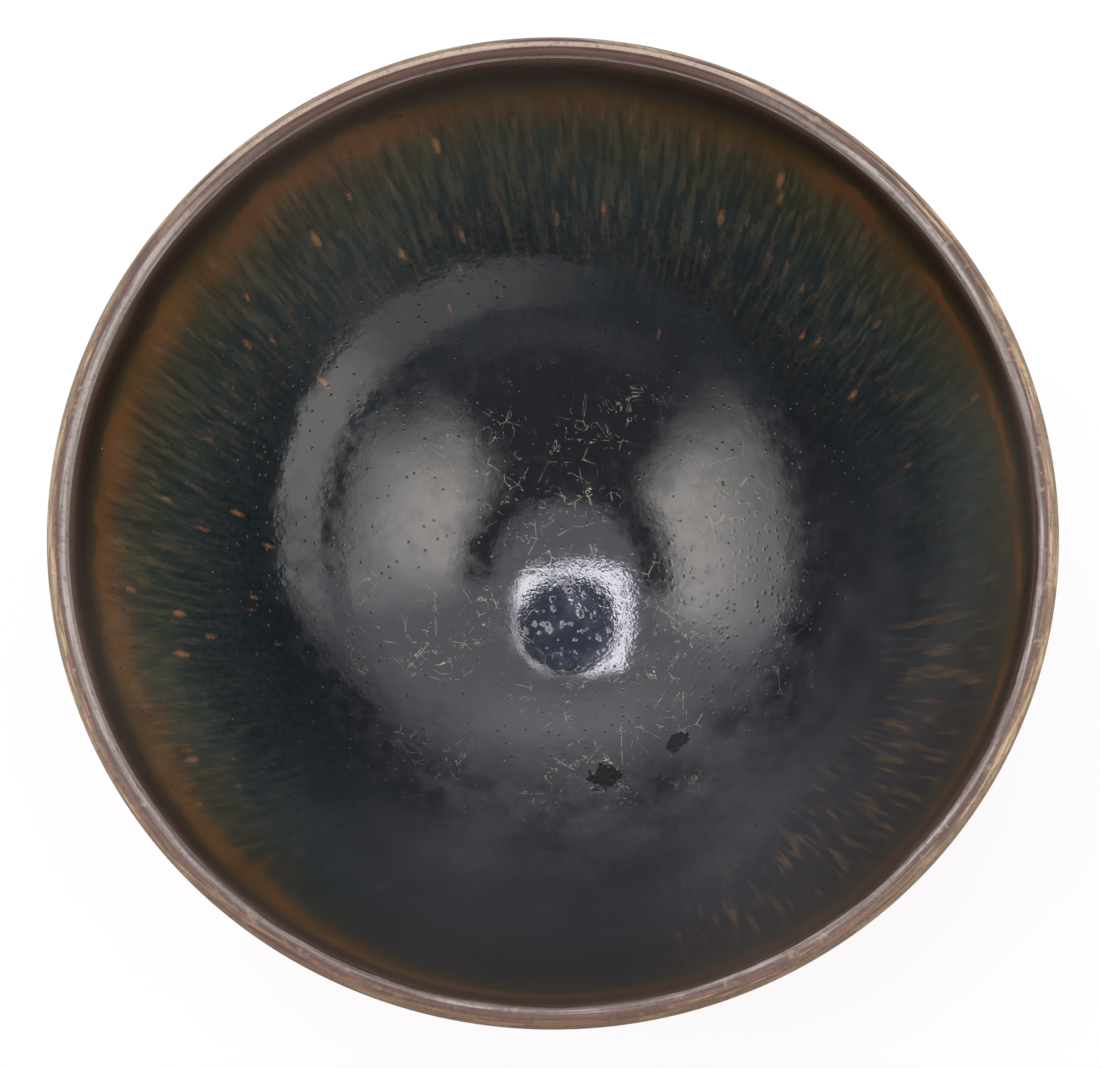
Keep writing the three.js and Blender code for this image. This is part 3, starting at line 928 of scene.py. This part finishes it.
inside_relief = summed(
    tree, (peel, 0.006), (both(tree, peel, peel_here), 0.012), (swell, 0.045), (pits, -0.035),
    (scratches, 0.01), (bubble_ring, 0.02), (both(tree, beads, frosted), -0.004), (lumps, 0.03),
    (pebbles, 0.012), (soft_pits, -0.02), (worn_grain, 0.005), (broken_floor, -CHIP_UNEVEN_BY),
    (chip_floor, 1.0))
print("with the relief:", len(tree.nodes), "nodes")

# %% The gloss of the inside
GLAZE_ROUGHNESS = 0.05
GLAZE_IOR = 1.52

dull_patch = zone(tree, grain(tree, 2.4, detail=3, roughness=0.55, seed=(4, 2, 2)), (0.35, 0.75))
dull_here = both(tree, dull_patch, zone(tree, from_rim, (20, 30)), zone(tree, from_axis, (6.0, 11.0)))
dull_near = both(tree, near_side, zone(tree, from_rim, (10, 18), (40, 46)))
inside_roughness = summed(
    tree, (grain(tree, 2.0, detail=3), 0.04), (scratches, 0.3), (zone(tree, from_rim, (24, 14)), 0.12),
    (dull_here, 0.16), (dull_near, 0.16), (chipped, 0.3), (GLAZE_ROUGHNESS, 1.0))
dress(inside_coat, hare_fur,
      {"Base Color": chipped_glaze, "Roughness": inside_roughness, "IOR": GLAZE_IOR}, inside_relief)

# %% [markdown]
# ## Rubbed glaze on the lip
# Here the glaze is a film over the clay. It is tan with cream streaks on the outer shoulder, and rust red in
# lines along the crest, where it was always thinnest. The inner shoulder is a satin skin, and grey lines on
# it are a painted highlight. The near lip is redder, the left flank paler from worn glaze and a painted
# highlight, and the far lip has a painted highlight on its crest over a brown flank.

# %% The film's colours
LIP_BANDS = [(-0.785, "#382c24"), (0.0, "#6b5b48"), (0.35, "#78674f"), (0.8, "#6f5a47"), (1.1, "#573e30"),
             (1.4, "#432d23"), (1.7, "#4e4139"), (2.1, "#5b504a"), (2.4, "#4e423b"), (2.65, "#3a2519"),
             (3.0, "#32231a")]
# The grey is a painted highlight; cream, red and worn clay are the film's own colours.
CREAM, RED_LINE, PAINTED_HIGHLIGHT_GREY, WORN_CLAY = "#a5906f", "#3a221a", "#8b827c", "#83765f"

rubbed_lip, tree = new_finish("thin_glaze_film_rubbed")
from_rim = add(tree, "Attribute", FROM_RIM).outputs["Fac"]
patchy = add(tree, "Math", {"operation": "SUBTRACT"},
             {0: grain(tree, 9, roughness=0.6, seed=(2, 2, 7)), 1: 0.5})
ragged = add(tree, "Math", {"operation": "SUBTRACT"},
             {0: grain(tree, 0.8, detail=4, roughness=0.7, seed=(4, 7, 2)), 1: 0.5})
rubbed_reach = summed(tree, (from_rim, 1.0), (patchy, 1.2), (ragged, 0.7))
red_here = summed(tree, (side(tree, (0, 1, 0), (0.3, 0.8)), 0.6), (side(tree, (0, -1, 0), (0.3, 0.8)), 0.6),
                  (0.35, 1.0))
red_lines = streaks(tree, 9.0, 0.4, (0.42, 0.6), shift=7)
# Lines of painted highlight along the inner shoulder.
painted_highlight_lines = streaks(tree, 9.0, 0.4, (0.48, 0.66), shift=17)
worn_patch = zone(tree, grain(tree, 2.6, detail=4, roughness=0.65, seed=(8, 1, 1)), (0.58, 0.68))
cream_streaks = streaks(tree, 6.0, 0.5, (0.48, 0.66), shift=2)
worn_and_highlit_lip = coated(
    tree, bands(tree, rubbed_reach, LIP_BANDS),
    (CREAM, cream_streaks, zone(tree, from_rim, (-0.2, 0.2), (0.9, 1.4)), 0.85),
    (RED_LINE, red_lines, zone(tree, from_rim, (0.2, 0.6), (1.6, 2.0)), red_here),
    (PAINTED_HIGHLIGHT_GREY, painted_highlight_lines, zone(tree, from_rim, (1.4, 1.8), (2.3, 2.6)), 0.7),
    (WORN_CLAY, worn_patch, zone(tree, from_rim, (0.0, 0.4), (2.0, 2.5)), 0.6))
print("film on the lip:", len(tree.nodes), "nodes")

# %% What differs round the lip, its relief and its gloss
NEAR_RED, WORN_FLANK_AND_HIGHLIGHT, PAINTED_CREST_HIGHLIGHT, BROWN_FLANK, GRIME = "#503629", "#8a8078", "#a39484", "#3a2010", "#2a1d17"
LIP_NEAR, LIP_LEFT, LIP_FAR = (-0.1, -0.99, 0), (-0.5, 0.86, 0), (-0.12, 0.99, 0)

far_lip = side(tree, LIP_FAR, (0.62, 0.94))
far_flank = both(tree, far_lip, zone(tree, from_rim, (1.35, 1.65), (2.4, 2.8)), 0.95)
grime = zone(tree, grain(tree, 0.6, detail=4, roughness=0.7, seed=(1, 3, 8)), (0.5, 0.68))
grimy_and_highlit_lip = coated(
    tree, worn_and_highlit_lip,
    (NEAR_RED, side(tree, LIP_NEAR, (0.4, 0.95)), zone(tree, from_rim, (-0.2, 0.0), (1.2, 1.6)), 0.6),
    # Paler worn glaze on the left flank, lightened further as a painted highlight.
    (WORN_FLANK_AND_HIGHLIGHT, side(tree, LIP_LEFT, (-0.6, 0.3)), zone(tree, from_rim, (1.9, 2.2), (2.8, 3.0)), 0.75),
    # A painted highlight on the far lip's crest.
    (PAINTED_CREST_HIGHLIGHT, far_lip, zone(tree, from_rim, (0.7, 1.0), (1.35, 1.6)), 0.6),
    (BROWN_FLANK, far_flank),
    (GRIME, grime, 0.5))
crest_place = summed(tree, (from_rim, 1.0), (patchy, 0.8))
crest_line = zone(tree, crest_place, (1.55, 2.1), (2.35, 2.75))
lip_relief = summed(
    tree, (grain(tree, 0.5, detail=3, roughness=0.6, seed=(1, 1, 5)), 0.02), (grain(tree, 2.5), 0.04),
    (streaks(tree, 9.0, 0.5, (0.3, 0.7), shift=1, detail=1.0), 0.05), (crest_line, 0.12))
lip_roughness = summed(tree, (zone(tree, crest_place, (2.0, 1.5)), 0.22), (grain(tree, 1.2, detail=3), 0.2),
                       (0.32, 1.0), (far_flank, 0.3))
dress(lip_coat, rubbed_lip, {"Base Color": grimy_and_highlit_lip, "Roughness": lip_roughness, "IOR": 1.5}, lip_relief)

# %% [markdown]
# ## Iron black glaze outside
# The same glaze, seen from outside: rust under the lip, a few fine brown hairs on the wall, and deep glossy
# black in the roll and its drops, where it lies about two millimetres thick.

# %% The finish of the outside
OUTSIDE_BANDS = [(-62.0, "#070606"), (-34.0, "#0a0807"), (-20.0, "#100c0a"), (-13.0, "#1b1610"),
                 (-9.0, "#2b2217"), (-6.5, "#43301a"), (-4.6, "#4b3119"), (-3.2, "#2f2017"),
                 (-2.0, "#33241b"), (-0.785, "#4a3a30")]
BROWN_HAIR = "#3f2d1c"
PULL_OF_HAIRS = 14.0
OUTSIDE_UNEVEN = 5.0

iron_black, tree = new_finish("iron_black_glaze_dipped")
from_rim = add(tree, "Attribute", FROM_RIM).outputs["Fac"]
hairs = streaks(tree, 0.8, 9.0, (0.42, 0.70), shift=5, detail=3.0)
hair_pull = add(tree, "MapRange", None, {"Value": from_rim, "From Min": -5.0, "From Max": -26.0,
                                         "To Max": PULL_OF_HAIRS})
uneven = add(tree, "Math", {"operation": "SUBTRACT"}, {0: grain(tree, 18, detail=1), 1: 0.5})
outside_reach = summed(tree, (from_rim, 1.0), (both(tree, hair_pull, hairs), 1.0), (uneven, OUTSIDE_UNEVEN))
brown_hairs = streaks(tree, 1.0, 7.0, (0.58, 0.76), shift=15)
haired = coated(tree, bands(tree, outside_reach, OUTSIDE_BANDS),
                (BROWN_HAIR, brown_hairs, zone(tree, from_rim, (-52, -36), (-12, -8)), 0.6))
outside_relief = summed(
    tree, (grain(tree, 1.1, seed=(3, 3, 3)), 0.010), (grain(tree, 6.0, detail=1, seed=(2, 5, 1)), 0.06),
    (spots(tree, 3.1, (0.04, 0.1), 0.25), -0.04))
dress(outside_coat, iron_black, {"Base Color": haired, "Roughness": 0.12, "IOR": GLAZE_IOR}, outside_relief)

# %% [markdown]
# ## The studio
# The bowl stands on white paper, which is matte and lit so brightly that it seems to glow. Everything round
# the bowl shows in its glaze, so the room is drawn by what the glaze reflects: a large soft box on each side
# with a white card below the right one, a square light overhead in a pale ceiling, and a pale wall behind.
# The near side, where the camera stands, is kept dim.

# %% The table
TABLE_RADIUS = 6.0
BELOW_THE_FOOT = 0.0002

bpy.ops.object.select_all(action="DESELECT")
bpy.ops.mesh.primitive_circle_add(vertices=128, radius=TABLE_RADIUS, fill_type="NGON",
                                  location=(0, 0, -BELOW_THE_FOOT))
table = bpy.context.object
table.name = table.data.name = "table"
bpy.ops.object.transform_apply(location=True, rotation=False, scale=False)
white_paper, tree = new_finish("matte_white_paper")
dress(table, white_paper,
      {"Base Color": (0.10, 0.10, 0.10, 1), "Roughness": 1.0, "Specular IOR Level": 0.0,
       "Emission Color": (1.0, 0.985, 0.99, 1), "Emission Strength": 0.86})

# %% [markdown]
# Each soft light is a patch of the room's sky: a bearing, how far it spreads to either side of it, and from
# which tilt to which, all in degrees, with its radiance. Its edges are soft, like those of a light behind
# silk.

# %% The soft lights
WARM, COOL = (1.0, 0.955, 0.91), (0.98, 0.96, 1.05)
SOFT_LIGHTS = [("soft box right", -24, (20, 38), (26, 36), (40, 60), 3.9, WARM),
               ("outer half of the soft box right", -10, (16, 34), (29, 36), (57, 59.5), 2.1, WARM),
               ("white card right", -12, (22, 42), (62.5, 64), (75, 80), 1.6, WARM),
               ("near end of the card", -44, (24, 66), (62.5, 64.5), (75, 80), 1.0, WARM),
               ("soft box left", -172, (20, 46), (26, 36), (40, 60), 3.5, WARM),
               ("outer half of the soft box left", -172, (16, 44), (31, 37), (60, 67), 2.5, WARM),
               ("wall behind", 85, (70, 84), (17, 23), (52, 74), 1.6, COOL),
               ("glow on the wall", 93, (10, 45), (36, 46), (49, 60), 0.7, COOL),
               ("ceiling", 0, (181, 182), (-2, -1), (17, 23), 1.6, COOL),
               ("near wall", -90, (18, 36), (54, 56), (60, 62), 0.3, COOL),
               ("dim room", 0, (181, 182), (-2, -1), (98, 99), 0.33, COOL),
               ("horizon", 0, (181, 182), (80, 86), (98, 99), 0.55, COOL)]

world = bpy.data.worlds.new("room")
bpy.context.scene.world = world
world.use_nodes = True
world.node_tree.nodes.clear()
tree = world.node_tree
direction = add(tree, "TexCoord").outputs["Generated"]
east, north, up = add(tree, "SeparateXYZ", None, {"Vector": direction}).outputs
tilt = add(tree, "Math", {"operation": "ARCCOSINE"}, {0: up})
tilt = add(tree, "Math", {"operation": "DEGREES"}, {0: tilt})
flat = add(tree, "VectorMath", {"operation": "MULTIPLY"}, {0: direction, 1: (1, 1, 0)})
level = add(tree, "VectorMath", {"operation": "NORMALIZE"}, {0: flat})

lights = []
for name, bearing, spread, rise, fall, radiance, colour in SOFT_LIGHTS:
    towards = (math.cos(math.radians(bearing)), math.sin(math.radians(bearing)), 0)
    facing = add(tree, "VectorMath", {"operation": "DOT_PRODUCT"}, {0: level, 1: towards}).outputs["Value"]
    aside = add(tree, "Math", {"operation": "ARCCOSINE"}, {0: facing})
    aside = add(tree, "Math", {"operation": "DEGREES"}, {0: aside})
    patch = both(tree, zone(tree, tilt, rise, fall), zone(tree, aside, spread[::-1]))
    lights.append((patch, radiance, colour))
print("soft lights:", [light[0] for light in SOFT_LIGHTS])

# %% [markdown]
# The overhead light is a square panel, seen from the bowl, with one corner cut off. A round dark disc hangs
# in front of its middle, so the pool in the well mirrors the panel as a bright frame. The disc also dims
# what else of the room lies behind it.

# %% The overhead light and its disc
OVERHEAD_ACROSS, OVERHEAD_ALONG = (-0.262, 0.202), (0.052, 0.492)
OVERHEAD_RADIANCE = 15.5
DISC_MIDDLE, DISC_REACH = (-0.006, 0.298, 0), 0.199
DISC_DIMS_TO = 0.25
CORNER, CORNER_CUT = (0.707, 0.707, 0), 0.415
EDGE = 0.016

square = [zone(tree, value, (low - EDGE, low), (high, high + EDGE))
          for value, (low, high) in ((east, OVERHEAD_ACROSS), (north, OVERHEAD_ALONG))]
off_middle = add(tree, "VectorMath", {"operation": "DISTANCE"}, {0: flat, 1: DISC_MIDDLE}).outputs["Value"]
around_disc = zone(tree, off_middle, (DISC_REACH - EDGE / 2, DISC_REACH + EDGE / 2))
to_corner = add(tree, "VectorMath", {"operation": "DOT_PRODUCT"}, {0: direction, 1: CORNER}).outputs["Value"]
cut = zone(tree, to_corner, (CORNER_CUT + EDGE, CORNER_CUT - EDGE))
lights.append((both(tree, both(tree, *square), around_disc, cut), OVERHEAD_RADIANCE, COOL))

room = (0, 0, 0)
for mask, radiance, colour in lights:
    room = add(tree, "VectorMath", {"operation": "MULTIPLY_ADD"},
               {0: mask, 1: tuple(radiance * part for part in colour), 2: room})
shaded = add(tree, "MapRange", None, {"Value": around_disc, "To Min": DISC_DIMS_TO})
room = add(tree, "VectorMath", {"operation": "SCALE"}, {0: room, "Scale": shaded})
background = add(tree, "Background", None, {"Color": room, "Strength": 1.0})
add(tree, "OutputWorld", None, {"Surface": background})
print("lights in the room:", len(lights))

# %% [markdown]
# ## The camera
# It looks down into the bowl from 14 degrees off its axis with a long lens, as the photograph does, and
# stands 20 degrees round from the near side. Its own upright follows the bowl's +Y, and the rim's centre
# lies a few pixels above the frame's middle.

# %% Set up the camera
TILT = math.radians(14)
BEARING = math.radians(20)
DISTANCE = 1.5
PIXELS_PER_METRE = 8250
FRAME_WIDTH = 1100
SENSOR_WIDTH = 36
RIM_CENTRE_PIXELS = (-0.1, 6.5)

back = Vector((math.sin(TILT) * math.sin(BEARING), -math.sin(TILT) * math.cos(BEARING), math.cos(TILT)))
upright = (Vector((0, 1, 0)) - back * back.y).normalized()
rightwards = upright.cross(back)
rim_centre = Vector((0, 0, BOWL_HEIGHT * MM))
aim = rim_centre - (rightwards * RIM_CENTRE_PIXELS[0] + upright * RIM_CENTRE_PIXELS[1]) / PIXELS_PER_METRE

camera_data = bpy.data.cameras.new("camera")
camera_data.sensor_width = SENSOR_WIDTH
camera_data.lens = SENSOR_WIDTH * DISTANCE * PIXELS_PER_METRE / FRAME_WIDTH
camera = bpy.data.objects.new("camera", camera_data)
camera.location = aim + back * DISTANCE
camera.rotation_euler = Matrix((rightwards, upright, back)).transposed().to_euler()
bpy.context.scene.collection.objects.link(camera)
bpy.context.scene.camera = camera
bpy.context.scene.view_settings.view_transform = "Standard"
print("lens", round(camera_data.lens, 1), "mm")
